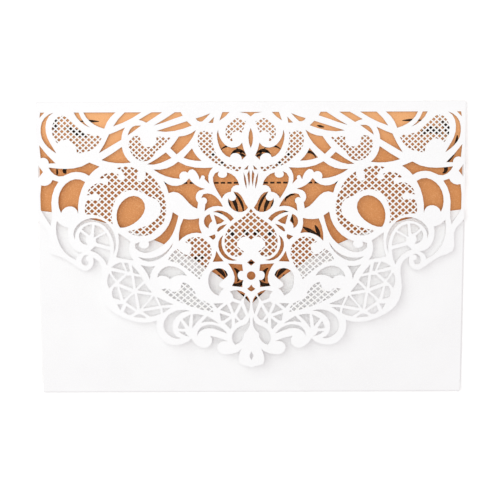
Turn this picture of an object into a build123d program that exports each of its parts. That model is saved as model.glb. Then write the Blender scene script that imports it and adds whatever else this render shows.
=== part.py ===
"""Laser-cut pocket invitation, closed, lying on its back.

One card sheet is folded and glued into a pocket wrap: a back panel, a pocket panel folded up from the
bottom edge, two glue tabs folded in from the sides, and a lace flap folded down from the top edge. A
plain insert card lies inside. X runs across the card, Y up the sheet, and Z out of its front.
"""
import os
from math import atan2, ceil, cos, degrees, radians, sin, sqrt

from build123d import *

# Driving sizes, in millimetres and degrees.
wrap_width = 184.0
wrap_height = 127.0
card_thickness = 0.3

flap_depth = 114.7
flap_tilt = 2.9
top_bend_radius = 0.8

pocket_side_height = 80.5
pocket_notch_height = 39.3
bottom_bend_radius = 0.8

tab_width = 10.0
tab_top_gap = 5.0
tab_bottom_gap = 4.0
tab_end_slope = 8.0

insert_thickness = 0.3
insert_side_clearance = 1.5
insert_bottom_clearance = 0.3
insert_top_clearance = 3.4

lattice_bar_width = 0.55
coarse_bar_step = 3
smallest_gap_area = 1.6
cut_step_sag = 0.08
turn_samples = 12

# Where the folds and faces are.
half_height = wrap_height / 2
top_bend_y = half_height - top_bend_radius
bottom_bend_y = bottom_bend_radius - half_height
pocket_outer_z = 2 * bottom_bend_radius
pocket_inner_z = pocket_outer_z - card_thickness
side_bend_radius = pocket_inner_z / 2
side_bend_x = wrap_width / 2 - side_bend_radius
panel_width = 2 * side_bend_x

# The lace was drawn on a flap of this size, so its points follow the flap's own size.
drawn_width = 182.7
drawn_depth = 114.7
across_scale = panel_width / drawn_width
down_scale = flap_depth / drawn_depth


def placed(point):
    """A drawn point, across and down from the fold, on the flap's own plane."""
    across, down = point
    return across * across_scale, -down * down_scale


def cut_path(start, through, end):
    """One side of an outline, from its first point: the laser takes a curve in short straight steps."""
    if not through:
        return [start]
    if len(through) == 1:
        curve = Edge.make_three_point_arc(start, through[0], end)
    else:
        curve = Edge.make_spline([start, *through, end])
    headings = [curve.tangent_at(share / turn_samples) for share in range(turn_samples + 1)]
    turn = sum(before.get_angle(after) for before, after in zip(headings, headings[1:]))
    steps = ceil(sqrt(radians(turn) * curve.length / (8 * cut_step_sag)))
    return [curve.position_at(step / steps) for step in range(steps)]


def outline(sides):
    """A closed outline: each side lists its first corner, then the points that it bends through."""
    runs = [[placed(point) for point in side] for side in sides]
    points = []
    for run, following in zip(runs, runs[1:] + runs[:1]):
        points += cut_path(run[0], run[1:], following[0])
    return Wire.make_polygon(points)


def reflected(sides):
    """The same sides on the other half of the flap."""
    return [[(-across, down) for across, down in side] for side in sides]


def symmetric(sides):
    """Sides from one point of the centre line to another, joined to their own reflection."""
    back = []
    for side, following in zip(reflected(sides[:-1]), reflected(sides[1:])):
        back.insert(0, [following[0], *reversed(side[1:])])
    return sides[:-1] + back


def corners(*points):
    """A straight-sided outline."""
    return [[point] for point in points]


# Cuts of one half of the lace, in millimetres across from the centre line and down from the fold.
top_edge_cuts = [
    [[(9.0, 4.6)], [(12.0, 4.6)], [(12.6, 6.2)], [(13.3, 8.2), (11.2, 6.8)]],
    [[(29.7, 4.6)], [(32.2, 4.6), (36.3, 7.3)], [(41.2, 10.2), (35.5, 8.4), (32.0, 7.1)], [(28.9, 6.1)]],
    [[(37.6, 4.6)], [(42.1, 4.6)], [(44.6, 6.0)], [(47.6, 7.8), (46.0, 8.2)], [(44.4, 9.0), (41.5, 7.2)]],
    [[(46.5, 4.6)], [(53.5, 4.6), (55.3, 6.3)], [(58.5, 10.5), (54.2, 8.9), (50.0, 6.8)]],
    [[(57.4, 4.6)], [(71.1, 4.6), (69.4, 7.4), (66.8, 9.6)], [(62.3, 11.5), (60.6, 7.9)]],
    [[(73.1, 4.6)], [(75.2, 4.6), (73.9, 6.9), (71.6, 9.2)], [(68.4, 11.0), (70.7, 9.0), (72.2, 6.7)]],
    [[(83.8, 4.6), (86.4, 5.8), (88.6, 8.3), (89.4, 11.8), (88.9, 15.6), (86.8, 18.8)],
     [(82.9, 21.9), (85.2, 18.0), (86.8, 14.6), (87.3, 11.0), (86.5, 7.3)]],
    [[(87.6, 4.6)], [(89.4, 4.6)], [(89.8, 6.8)], [(88.9, 5.9)]],
]
upper_leaf_cuts = [
    corners((15.55, 6.6), (17.0, 8.1), (18.0, 9.1), (16.0, 9.2)),
    [[(17.2, 5.1)], [(20.5, 6.4)], [(23.4, 7.3), (22.2, 8.45)], [(20.6, 8.55), (18.9, 7.0)]],
    [[(13.9, 12.0), (14.4, 14.4), (13.95, 17.4), (12.4, 21.2)], [(10.5, 23.2)],
     [(8.9, 23.8), (7.2, 22.0), (4.8, 22.6)], [(3.85, 24.9), (2.8, 23.9)],
     [(1.85, 23.0), (2.9, 20.7)], [(3.7, 17.6), (5.8, 19.4), (9.1, 19.5), (12.2, 17.0)]],
    [[(23.3, 12.2), (26.6, 14.1)], [(30.6, 14.9), (32.4, 17.5)],
     [(34.3, 19.8)], [(31.6, 22.5)], [(28.9, 20.2), (25.6, 16.6)]],
    [[(25.05, 19.9), (26.8, 21.9)], [(28.7, 23.95), (25.5, 24.9)], [(21.0, 25.3), (23.6, 22.5)]],
    [[(25.1, 10.3)], [(27.1, 8.4), (33.5, 10.4)], [(40.0, 12.5), (36.0, 12.9), (31.0, 12.2)]],
    [[(46.6, 10.2)], [(49.0, 10.2), (50.7, 11.1), (51.7, 12.5)], [(52.4, 14.4), (50.9, 13.4), (48.9, 11.9)]],
    [[(53.5, 11.0), (57.0, 12.6)], [(60.3, 13.9), (61.8, 17.0)],
     [(64.8, 21.9), (60.5, 19.4)], [(55.1, 16.2), (54.7, 13.6)]],
    [[(54.9, 19.2), (58.9, 21.9)], [(63.7, 24.8), (57.5, 26.1)], [(51.2, 25.9), (53.8, 22.8)]],
    [[(36.2, 21.6), (39.9, 24.2)], [(44.2, 26.7), (40.2, 26.6), (37.0, 25.5)], [(33.8, 24.0)]],
]
side_border_cuts = [
    [[(90.1, 18.4)], [(89.6, 24.0), (87.6, 23.9)], [(86.2, 26.2)], [(83.3, 26.1), (86.6, 22.8)]],
    corners((88.7, 29.8), (90.7, 27.0), (90.7, 32.3)),
    [[(64.5, 27.6), (66.8, 26.7)], [(68.9, 25.8), (73.2, 27.8), (79.5, 28.5)],
     [(86.3, 27.9), (85.3, 29.6), (81.2, 31.8), (77.3, 30.3), (73.0, 29.9)], [(69.1, 31.5), (66.9, 29.2)]],
    [[(70.8, 34.1), (75.2, 32.9), (80.2, 36.0), (82.4, 41.5)], [(81.3, 47.4), (80.0, 45.4), (77.3, 44.5)],
     [(74.0, 47.8), (73.7, 42.0)]],
    [[(82.2, 34.0)], [(84.7, 33.2), (86.2, 35.1)], [(89.6, 35.5)], [(90.1, 40.0)],
     [(90.0, 46.0), (88.3, 49.0)], [(85.9, 52.7), (85.2, 48.0), (85.4, 43.0), (84.6, 38.5)]],
    [[(78.4, 53.7), (81.2, 52.6)], [(83.2, 50.8), (83.5, 56.0), (81.5, 62.2)],
     [(75.3, 67.6), (74.2, 65.4)], [(72.4, 64.4), (76.5, 62.5), (78.5, 58.2)]],
]
middle_scroll_cuts = [
    corners((1.0, 27.1), (2.9, 29.0), (1.4, 29.0)),
    [[(0.7, 29.2)], [(1.5, 31.0)], [(0.8, 36.2), (0.35, 32.0)]],
    [[(3.15, 30.2)], [(2.8, 34.0)], [(1.9, 37.3), (1.9, 34.3)]],
    [[(5.0, 35.7), (6.4, 32.5)], [(10.2, 30.2), (11.3, 32.4), (13.7, 32.0)],
     [(13.5, 29.7), (16.1, 31.8), (15.6, 35.8)], [(12.4, 41.4), (11.0, 39.4)], [(8.6, 38.5), (7.4, 36.1)]],
    [[(7.5, 38.4), (4.6, 39.6), (2.8, 42.7)], [(1.2, 45.3), (5.2, 47.2), (8.8, 45.1)],
     [(9.7, 41.2), (7.8, 42.4)], [(6.3, 40.6)]],
    [[(12.0, 44.9), (13.9, 41.7), (17.0, 39.4)], [(20.4, 39.5)], [(21.3, 41.2), (19.3, 41.2)],
     [(19.5, 43.7)], [(19.9, 46.8), (16.4, 44.8)]],
    [[(16.2, 28.1), (20.0, 28.3), (26.0, 27.7)], [(31.0, 25.6), (35.6, 28.3)],
     [(41.6, 28.9), (35.6, 32.0)], [(30.3, 32.9), (29.0, 29.8)],
     [(27.0, 30.3), (24.9, 28.8), (22.9, 30.6)], [(21.9, 33.3)], [(21.0, 31.5), (19.8, 31.8)],
     [(19.8, 33.0)], [(17.7, 35.1), (18.0, 31.0)]],
    [[(26.4, 32.7), (29.6, 35.4)], [(37.3, 33.8), (35.8, 36.8)], [(35.2, 39.0), (31.2, 38.8), (27.4, 42.3)],
     [(23.0, 45.7)], [(22.6, 43.1), (23.6, 40.2)], [(22.0, 37.9)], [(19.6, 37.2), (23.4, 35.7)]],
    [[(7.3, 50.0), (10.6, 47.2)], [(14.2, 46.4)], [(16.3, 47.1), (12.0, 48.3)], [(8.8, 51.2)]],
    [[(11.4, 50.9), (13.4, 49.5)], [(15.9, 48.3)], [(14.7, 52.5), (13.0, 52.0)]],
    [[(17.7, 48.0), (20.2, 51.2)], [(18.2, 54.2), (17.9, 52.4)], [(16.6, 51.1)]],
    [[(22.2, 49.8), (25.5, 50.3)], [(29.0, 50.0), (30.7, 54.8)], [(31.0, 59.7), (28.0, 57.2), (24.8, 56.1)],
     [(21.1, 56.3), (22.2, 53.2)]],
    [[(31.1, 48.7)], [(33.5, 47.1), (35.6, 53.2), (39.5, 57.6)], [(44.0, 59.8), (45.3, 62.7), (47.9, 62.0)],
     [(47.7, 60.0), (50.2, 61.5), (47.0, 64.4), (41.0, 63.3), (35.1, 58.8), (32.0, 52.2)]],
    [[(33.4, 60.2), (37.6, 64.9)], [(48.5, 66.4), (43.4, 68.4), (37.4, 65.9)]],
    [[(51.8, 59.6)], [(56.9, 56.1), (56.8, 61.3)], [(58.0, 66.5)], [(50.6, 67.9), (52.4, 63.7)]],
    [[(41.3, 70.4), (44.4, 70.5)], [(47.4, 69.9), (45.1, 72.9)], [(43.7, 76.2), (42.9, 72.8)]],
    [[(10.3, 52.3)], [(12.2, 52.8), (14.0, 53.9)], [(14.7, 55.4)], [(14.0, 55.6), (12.0, 54.1)]],
    [[(15.5, 56.7)], [(18.1, 57.6)], [(16.3, 59.1), (15.4, 58.3)]],
    [[(11.9, 57.0), (14.1, 60.6), (12.8, 65.3)], [(6.0, 67.9), (11.4, 64.6)]],
    [[(14.9, 63.9), (15.6, 66.6)], [(16.5, 68.6)], [(11.8, 68.4), (13.7, 66.0)]],
]
teardrop_and_wheel_cuts = [
    [[(56.2, 53.8), (49.0, 51.1), (45.3, 44.8)], [(46.6, 41.6), (50.6, 40.1), (55.6, 43.1), (57.6, 48.5)]],
    [[(59.2, 65.2), (58.5, 57.0), (64.0, 50.3), (72.5, 51.0), (76.2, 56.5)],
     [(75.6, 58.7), (72.2, 52.4), (65.0, 51.6), (60.3, 56.5)]],
    [[(60.4, 61.9), (60.9, 58.7)], [(62.1, 56.0)], [(66.3, 58.2), (66.6, 59.5)], [(65.9, 60.4)]],
    [[(62.7, 55.2), (64.6, 53.4)], [(67.0, 52.5)], [(67.5, 58.0)]],
    [[(68.2, 52.3), (70.7, 52.8)], [(72.6, 54.4)], [(69.3, 57.0)], [(68.6, 56.3)]],
    [[(73.1, 55.3), (73.7, 58.5)], [(70.2, 61.1)], [(71.1, 59.6)], [(70.6, 57.5)]],
    [[(60.5, 63.5)], [(67.0, 61.7)], [(69.0, 63.5), (64.6, 66.0)], [(62.0, 69.9), (60.9, 67.0)]],
    [[(69.5, 65.7), (72.2, 66.2), (72.8, 68.9)], [(70.5, 69.9)], [(69.7, 68.3), (71.1, 67.4)]],
]
web_leaf_cuts = [
    corners((47.9, 74.0), (49.4, 71.9), (51.3, 69.9), (50.7, 73.3)),
    corners((52.9, 68.9), (54.7, 68.9), (53.2, 72.7), (52.1, 72.5)),
    [[(55.9, 68.6), (58.2, 69.5)], [(60.1, 70.8)], [(54.2, 72.4)]],
    [[(54.3, 73.6)], [(60.2, 72.4), (59.2, 74.8)], [(57.7, 76.5)]],
    corners((46.3, 76.6), (47.3, 75.1), (50.4, 74.6), (49.7, 80.0)),
    corners((51.6, 74.5), (53.6, 74.4), (57.0, 77.7), (50.9, 80.2)),
    corners((45.9, 77.8), (49.0, 80.8), (42.8, 81.8), (44.8, 79.3)),
    corners((42.9, 83.1), (49.2, 82.1), (48.0, 89.1), (45.0, 85.8)),
    [[(50.4, 82.2), (52.5, 83.9)], [(54.0, 86.0)], [(49.2, 89.3)]],
    corners((51.3, 81.5), (56.8, 79.4), (55.0, 84.9)),
    [[(58.4, 77.2)], [(61.1, 73.5), (62.0, 77.0)], [(61.2, 80.0)]],
    [[(57.7, 79.3)], [(59.0, 79.3), (60.0, 82.0)], [(59.4, 84.2)], [(56.5, 85.0)]],
    [[(50.0, 90.2)], [(53.9, 87.6)], [(55.0, 90.2)], [(53.3, 91.4)], [(51.8, 91.4)]],
    corners((55.2, 86.8), (57.9, 86.9), (56.5, 89.4)),
    corners((33.6, 87.0), (37.0, 85.5), (40.6, 83.8), (38.9, 87.5)),
    [[(41.9, 83.3)], [(46.7, 88.8)], [(39.9, 87.6)]],
    corners((34.7, 88.4), (38.4, 88.5), (38.1, 90.7)),
    [[(39.4, 88.8)], [(46.9, 90.1)], [(43.6, 92.4), (41.2, 91.9)], [(39.1, 91.0)]],
    [[(48.3, 91.1), (49.6, 91.5)], [(50.7, 92.4)], [(45.3, 93.0), (46.5, 91.8)]],
]
lower_scroll_cuts = [
    [[(3.9, 69.7)], [(9.9, 69.3), (8.0, 72.3), (7.1, 75.5)], [(8.3, 79.1)], [(3.8, 79.6), (3.8, 78.0)],
     [(3.4, 76.5), (5.5, 75.7), (5.7, 73.6)], [(3.5, 72.6)]],
    [[(10.0, 74.3), (12.6, 71.5), (17.0, 72.4), (18.5, 76.8), (17.2, 81.0)], [(14.1, 83.3), (13.2, 81.5)],
     [(11.8, 80.2), (13.9, 78.2), (12.4, 76.6)]],
    [[(27.7, 74.6), (31.5, 71.2), (36.5, 70.6), (39.7, 73.2)], [(40.5, 75.3), (38.4, 74.4), (36.6, 74.8)],
     [(34.9, 76.0), (32.4, 74.6)]],
    [[(2.6, 82.4), (4.4, 81.3)], [(7.3, 80.9)], [(9.2, 81.5), (8.2, 82.6)], [(7.7, 84.4)],
     [(4.6, 85.6), (3.5, 84.4)]],
    [[(1.8, 83.3), (3.0, 84.7)], [(3.2, 86.2), (2.3, 88.8)], [(1.35, 91.2), (0.6, 88.6)],
     [(0.4, 86.8), (0.9, 84.8)]],
    [[(5.1, 86.8)], [(8.1, 85.8)], [(9.1, 86.7)], [(7.4, 90.8), (6.5, 89.1)]],
    corners((4.25, 87.9), (6.3, 91.8), (4.9, 93.8), (3.8, 93.8), (2.4, 92.0)),
    corners((10.5, 87.0), (13.5, 89.4), (8.6, 91.2)),
    corners((12.0, 86.5), (16.3, 86.7), (14.7, 88.7)),
    corners((9.4, 92.3), (13.6, 90.9), (13.1, 94.2), (11.8, 94.0)),
    corners((8.55, 93.2), (11.4, 95.4), (9.1, 97.8), (8.5, 97.1)),
    corners((7.1, 92.9), (7.1, 95.5), (5.4, 94.5)),
    [[(14.0, 95.4), (16.4, 93.7)], [(19.0, 92.2), (20.4, 93.6)], [(21.7, 95.0), (18.0, 94.5)]],
    [[(10.4, 99.8), (14.0, 96.7), (18.0, 95.8), (21.7, 97.0)],
     [(23.5, 100.8), (22.1, 98.7), (18.3, 97.4), (14.2, 98.3)]],
    [[(20.5, 91.8), (22.8, 91.3)], [(25.2, 91.3), (25.2, 94.3)], [(25.6, 97.4), (23.1, 94.3)]],
    [[(26.2, 91.4)], [(29.7, 93.4)], [(27.0, 96.8), (26.8, 94.0)]],
    corners((28.6, 97.5), (30.6, 94.2), (31.8, 97.3), (30.3, 97.7)),
    [[(28.7, 98.9)], [(31.4, 98.8), (29.8, 100.0)], [(26.7, 101.1), (28.0, 100.2)]],
    [[(26.4, 89.9), (31.2, 89.5), (36.5, 92.4), (38.0, 96.5), (35.8, 100.4)],
     [(30.5, 101.8), (33.4, 99.7), (33.8, 95.0), (31.3, 91.5)]],
    [[(0.85, 92.5), (1.4, 94.6)], [(3.2, 96.1), (6.6, 97.8), (8.3, 100.6)], [(7.1, 104.7), (4.3, 103.0)],
     [(3.2, 99.6), (1.2, 97.3)]],
]
half_cuts = [
    *top_edge_cuts,
    *upper_leaf_cuts,
    *side_border_cuts,
    *middle_scroll_cuts,
    *teardrop_and_wheel_cuts,
    *web_leaf_cuts,
    *lower_scroll_cuts,
]

# Cuts that cross the centre line: their right half, from the upper point to the lower one.
centre_cuts = [
    [[(0.0, 4.6)], [(4.9, 4.6)], [(1.6, 5.2)], [(0.0, 6.5)]],
    [[(0.0, 11.3), (1.0, 15.5)], [(0.0, 19.9)]],
    [[(0.0, 67.5)], [(1.7, 68.9)], [(0.0, 70.3)]],
    [[(0.0, 78.4), (0.7, 79.5)], [(1.75, 80.3), (1.0, 81.0)], [(0.0, 81.5)]],
    [[(0.0, 107.7)], [(0.9, 109.6)], [(0.0, 111.5)]],
]
centre_hole_down = 74.6
centre_hole_radius = 1.85

# Lattice fields of one half: their outline, the lattice's pitch across and down, and one gap's centre.
half_fields = [
    ([[(2.0, 8.6)], [(5.5, 7.2), (10.2, 10.5), (10.2, 15.5)], [(8.6, 17.0)],
      [(7.7, 16.9), (7.9, 13.6), (5.0, 12.7)], [(3.9, 13.4), (2.6, 10.6)]],
     (2.53, 2.27), (6.85, 10.7)),
    ([[(16.3, 12.9), (20.0, 12.6)], [(21.9, 12.9), (22.6, 17.6), (17.0, 25.0), (9.0, 28.9)],
      [(5.1, 29.9)], [(4.0, 27.9), (10.5, 26.3), (15.2, 21.6), (16.4, 15.9)]],
     (2.53, 2.27), (18.6, 15.8)),
    ([[(34.0, 15.3), (37.0, 15.0)], [(40.3, 14.8), (41.7, 18.6), (44.8, 19.3), (46.8, 16.8)],
      [(47.2, 14.9)], [(48.2, 14.5), (51.9, 17.0), (51.5, 20.8), (47.3, 25.1)], [(40.7, 21.6), (36.8, 18.2)]],
     (2.53, 2.35), (37.3, 18.2)),
    ([[(63.5, 15.6)], [(65.0, 14.4), (70.9, 13.1), (76.0, 8.4), (80.4, 5.9), (84.1, 9.2), (84.3, 14.4)],
      [(81.8, 18.2), (78.7, 16.0), (75.5, 18.2)], [(74.0, 21.9), (68.8, 20.9)]],
     (2.55, 2.35), (79.1, 11.45)),
    ([[(45.4, 29.5), (40.5, 33.8), (37.1, 40.2), (36.3, 47.0), (38.8, 53.5), (45.5, 57.3)],
      [(53.4, 55.1), (43.5, 52.3), (38.8, 47.5), (39.7, 42.3), (43.8, 40.3), (50.0, 37.5), (57.8, 41.7),
       (59.6, 47.5)],
      [(59.3, 52.3), (64.8, 48.8)], [(70.9, 48.0), (71.1, 45.0)],
      [(70.2, 42.1), (67.3, 41.9), (64.7, 41.6), (65.4, 39.4), (68.4, 39.6)],
      [(70.3, 39.8), (67.6, 35.7), (63.8, 34.7), (61.2, 35.5), (61.2, 33.3)],
      [(64.7, 32.7), (60.5, 30.2)], [(56.4, 31.0), (56.6, 33.2), (54.4, 33.4), (54.4, 30.6)],
      [(57.1, 28.3), (52.5, 27.6)], [(47.2, 29.8), (48.6, 31.3), (48.0, 34.0), (45.7, 32.8)]],
     (2.93, 2.63), (43.15, 37.4)),
    ([[(28.2, 60.0), (25.6, 62.5), (27.0, 65.4)], [(31.7, 63.0), (34.4, 65.3)],
      [(35.8, 67.9), (29.5, 70.3), (25.5, 73.3)],
      [(22.2, 76.2), (19.6, 71.6), (17.0, 66.0), (18.2, 60.3), (23.3, 57.8)]],
     (2.87, 2.6), (21.0, 64.3)),
    ([[(16.4, 90.4), (17.4, 87.3), (22.4, 84.4), (25.6, 79.9)], [(30.5, 77.2), (30.6, 80.2), (33.5, 81.6)],
      [(36.1, 79.4), (37.3, 80.2)], [(39.7, 80.3), (36.0, 83.1), (29.4, 86.6), (22.6, 89.0)]],
     (2.95, 2.5), (25.8, 85.4)),
]

# The centre medallion's field, its right half.
centre_field = [[(0.0, 45.8), (4.5, 50.2), (9.6, 54.2), (11.4, 60.0), (9.0, 65.6), (5.0, 66.2)],
                [(3.1, 64.2), (6.1, 60.9), (3.6, 57.9)], [(0.0, 59.5)]]
centre_pitch = (3.2, 2.85)
centre_gap = (0.0, 52.35)

# The flap's free edge, its right half: down the side, along the scallops to the tip.
free_edge = [
    [(91.35, 50.4), (89.6, 52.4), (87.3, 55.2), (87.2, 60.3), (86.6, 64.2), (82.0, 66.2), (76.5, 69.5)],
    [(73.0, 71.9), (70.8, 72.3), (68.6, 70.9), (67.7, 68.7)],
    [(68.0, 66.5), (64.4, 70.3), (64.8, 78.0), (62.4, 87.6), (55.0, 92.8), (47.0, 94.9)],
    [(40.8, 94.0), (40.8, 98.2), (36.5, 104.0), (30.5, 104.5)],
    [(25.9, 101.9), (23.3, 105.0), (19.6, 106.0), (17.2, 103.8)],
    [(17.8, 100.8), (13.6, 101.8)],
    [(10.2, 103.2), (12.3, 103.1), (14.6, 104.6), (14.2, 107.7), (9.5, 108.8)],
    [(4.2, 106.4), (5.5, 110.2), (5.2, 112.9), (2.4, 113.9)],
    [(0.0, 114.7)],
]


def lattice_bars(pitch, gap_centre, reach):
    """Crossed bars of a diamond lattice, on both sides of a gap and out to a reach from it."""
    half_across = pitch[0] * across_scale / 2
    half_down = pitch[1] * down_scale / 2
    across, down = placed(gap_centre)
    angle = degrees(atan2(half_down, half_across))
    count = ceil(reach / half_down / coarse_bar_step)
    bars = []
    for number in range(-count, count):
        shift = (number + 0.5) * coarse_bar_step
        for lean in (1, -1):
            middle = Pos(across + shift * half_across, down + lean * shift * half_down)
            bars.append(middle * Rot(0, 0, -lean * angle) * Rectangle(4 * reach, lattice_bar_width))
    return bars


def lattice_gaps(sides, pitch, gap_centre):
    """What the bars leave open in a field of lattice."""
    field = Face(outline(sides))
    size = field.bounding_box().size
    gaps = field - lattice_bars(pitch, gap_centre, size.X + size.Y)
    return [gap.outer_wire() for gap in gaps.faces() if gap.area > smallest_gap_area]


def flap_cuts():
    """Every opening of the lace."""
    half = [outline(sides) for sides in half_cuts]
    for sides, pitch, gap_centre in half_fields:
        half += lattice_gaps(sides, pitch, gap_centre)
    middle = [outline(symmetric(sides)) for sides in centre_cuts]
    middle += lattice_gaps(symmetric(centre_field), centre_pitch, centre_gap)
    middle.append(Wire.make_circle(centre_hole_radius, Plane(origin=(*placed((0, centre_hole_down)), 0))))
    return half + [wire.mirror(Plane.YZ) for wire in half] + middle


def lace_flap():
    """The lace flap, from the end of its bend to its tip, lifted by its tilt."""
    start = top_bend_radius / down_scale
    edge = outline(symmetric([[(0.0, start)], [(drawn_width / 2, start)], *free_edge]))
    sheet = extrude(Face(edge, flap_cuts()), card_thickness, dir=(0, 0, 1))
    tilt = radians(flap_tilt)
    normal = Vector(0, sin(tilt), cos(tilt))
    up_the_flap = Vector(0, cos(tilt), -sin(tilt))
    inner_radius = top_bend_radius - card_thickness
    fold = Vector(0, top_bend_y, top_bend_radius) + normal * inner_radius + up_the_flap * top_bend_radius
    return Plane(origin=fold, x_dir=(1, 0, 0), z_dir=normal) * sheet


def bend(radius, start_angle, end_angle):
    """The section of card bent round an axis, from one angle to another."""
    inner_radius = radius - card_thickness
    middle_angle = (start_angle + end_angle) / 2

    def at(distance, angle):
        return distance * cos(radians(angle)), distance * sin(radians(angle))

    return Face(Wire([
        Edge.make_three_point_arc(at(radius, start_angle), at(radius, middle_angle), at(radius, end_angle)),
        Edge.make_line(at(radius, end_angle), at(inner_radius, end_angle)),
        Edge.make_three_point_arc(
            at(inner_radius, end_angle), at(inner_radius, middle_angle), at(inner_radius, start_angle)),
        Edge.make_line(at(inner_radius, start_angle), at(radius, start_angle)),
    ]))


def folded_edge(section, y, z):
    """A bend that runs right across the card."""
    place = Plane(origin=(-panel_width / 2, y, z), x_dir=(0, 1, 0), z_dir=(1, 0, 0))
    return extrude(place * section, panel_width, dir=(1, 0, 0))


def back_panel():
    """The flat back that the card lies on."""
    middle_y = (top_bend_y + bottom_bend_y) / 2
    sheet = Pos(0, middle_y) * Rectangle(panel_width, top_bend_y - bottom_bend_y)
    return extrude(sheet, card_thickness)


def pocket_panel():
    """The front of the pocket, with a neckline of two hollow flanks that meet in a notch."""
    half_width = panel_width / 2
    side_y = pocket_side_height - half_height
    notch_y = pocket_notch_height - half_height
    drop = side_y - notch_y
    flank = [(half_width * 0.72, side_y - drop * 0.11), (half_width * 0.43, side_y - drop * 0.34),
             (half_width * 0.16, side_y - drop * 0.69)]
    right = Edge.make_spline([(half_width, side_y), *flank, (0, notch_y)])
    left = right.mirror(Plane.YZ)
    border = Polyline((-half_width, side_y), (-half_width, bottom_bend_y), (half_width, bottom_bend_y),
                      (half_width, side_y))
    sheet = Face(Wire([right, left, *border.edges()]))
    return Pos(0, 0, pocket_inner_z) * extrude(sheet, card_thickness, dir=(0, 0, 1))


def glue_tab():
    """The right side's tab: its bend and the tapered strip that is glued behind the pocket."""
    low_y = bottom_bend_y + tab_bottom_gap
    high_y = pocket_side_height - half_height - tab_top_gap
    inner_x = wrap_width / 2 - tab_width
    strip = Polyline((side_bend_x, low_y), (side_bend_x, high_y), (inner_x, high_y - tab_end_slope),
                     (inner_x, low_y + tab_end_slope), close=True)
    strip_solid = extrude(make_face(strip), card_thickness, dir=(0, 0, 1))
    place = Plane(origin=(side_bend_x, high_y, side_bend_radius), x_dir=(1, 0, 0), z_dir=(0, -1, 0))
    fold = extrude(place * bend(side_bend_radius, -90, 90), high_y - low_y, dir=(0, -1, 0))
    return fold + Pos(0, 0, pocket_inner_z - card_thickness) * strip_solid


def pocket_wrap():
    """The whole folded sheet."""
    tab = glue_tab()
    bottom_fold = folded_edge(bend(bottom_bend_radius, 90, 270), bottom_bend_y, bottom_bend_radius)
    top_fold = folded_edge(bend(top_bend_radius, -90, 90 - flap_tilt), top_bend_y, top_bend_radius)
    return back_panel() + [bottom_fold, pocket_panel(), tab, tab.mirror(Plane.YZ), top_fold, lace_flap()]


def insert_card():
    """The printed card, lying on the back panel inside the pocket."""
    low_y = bottom_bend_y + insert_bottom_clearance
    high_y = half_height - insert_top_clearance
    sheet = Pos(0, (low_y + high_y) / 2) * Rectangle(wrap_width - 2 * insert_side_clearance, high_y - low_y)
    return Pos(0, 0, card_thickness) * extrude(sheet, insert_thickness)


os.makedirs("parts", exist_ok=True)
export_step(pocket_wrap(), "parts/pocket_wrap.step")
export_step(insert_card(), "parts/insert_card.step")
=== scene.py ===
"""Dresses the laser-cut pocket invitation and sets it on a white table.

The folded pearl card and the gold insert come from the frame. This file cuts the small gaps at the
rims of the lace's lattice fields, and adds the fields' fine bars, the ink on the insert, the
papers' finishes and the studio.
"""

from math import atan2, ceil, cos, floor, hypot, pi, radians, sin, tan

import bmesh
import bpy
from bpy.props import FloatProperty, FloatVectorProperty, PointerProperty
from mathutils import Matrix, Quaternion, Vector
from mathutils.bvhtree import BVHTree


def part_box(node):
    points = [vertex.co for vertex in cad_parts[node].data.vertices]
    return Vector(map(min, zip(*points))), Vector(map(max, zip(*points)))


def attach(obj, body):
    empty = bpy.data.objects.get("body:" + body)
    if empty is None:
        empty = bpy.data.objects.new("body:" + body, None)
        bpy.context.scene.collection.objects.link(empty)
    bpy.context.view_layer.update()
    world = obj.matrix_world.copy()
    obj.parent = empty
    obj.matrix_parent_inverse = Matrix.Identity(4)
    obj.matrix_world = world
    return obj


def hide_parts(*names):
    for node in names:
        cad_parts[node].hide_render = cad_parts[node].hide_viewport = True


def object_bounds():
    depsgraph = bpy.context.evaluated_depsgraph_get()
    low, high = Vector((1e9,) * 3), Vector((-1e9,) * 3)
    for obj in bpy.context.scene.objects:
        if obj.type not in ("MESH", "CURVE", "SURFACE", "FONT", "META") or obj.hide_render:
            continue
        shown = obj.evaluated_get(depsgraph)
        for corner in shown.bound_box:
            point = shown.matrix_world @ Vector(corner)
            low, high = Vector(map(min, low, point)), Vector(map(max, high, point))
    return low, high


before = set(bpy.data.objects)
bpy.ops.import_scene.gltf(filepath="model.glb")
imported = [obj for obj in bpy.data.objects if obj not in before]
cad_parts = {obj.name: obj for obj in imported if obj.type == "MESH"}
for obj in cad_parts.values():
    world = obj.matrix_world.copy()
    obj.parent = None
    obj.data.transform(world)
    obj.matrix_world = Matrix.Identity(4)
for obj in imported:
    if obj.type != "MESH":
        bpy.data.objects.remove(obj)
cad_low, cad_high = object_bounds()
insert_low, insert_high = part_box("insert_card")

bl_info = {
    "name": "Laser-cut pocket invitation",
    "version": (1, 0, 0),
    "blender": (4, 5, 0),
    "location": "3D View > Sidebar > Invitation",
    "description": "Dresses a lace pocket invitation with its lattice, ink, papers and studio",
    "category": "Object",
}

MM = 0.001

# Outlines and meshes.
WELD = 0.001 * MM  # Points of the CAD mesh that are nearer than this are one point.
OUTLINE_STEP = 0.5  # Longest straight step along an outline's curves, in millimetres.
PLANE_SNAP = 0.0001  # How near to a cutting plane a point counts as on it, in millimetres.
SHARP_TURN = 0.2  # Below this, an outline turns back on itself and its corner stays.
LONGEST_REACH = 2.0  # How many laps a sharp corner may move.
HALF_SIDE = 0.5  # Half the side of a unit square, before it is shaped.

# Ink.
STROKE_STEPS = 10
STROKE_SLACK = 0.1 * MM  # Keeps a stroke that bends a little to that number of steps.
STROKE_TIP = 0.25  # A stroke's width at its ends, as a share of its width at its middle.
DOT_SEGMENTS = 14
INK_PROUD = 0.75  # The share of the ink's depth that stands above the paper.

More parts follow.
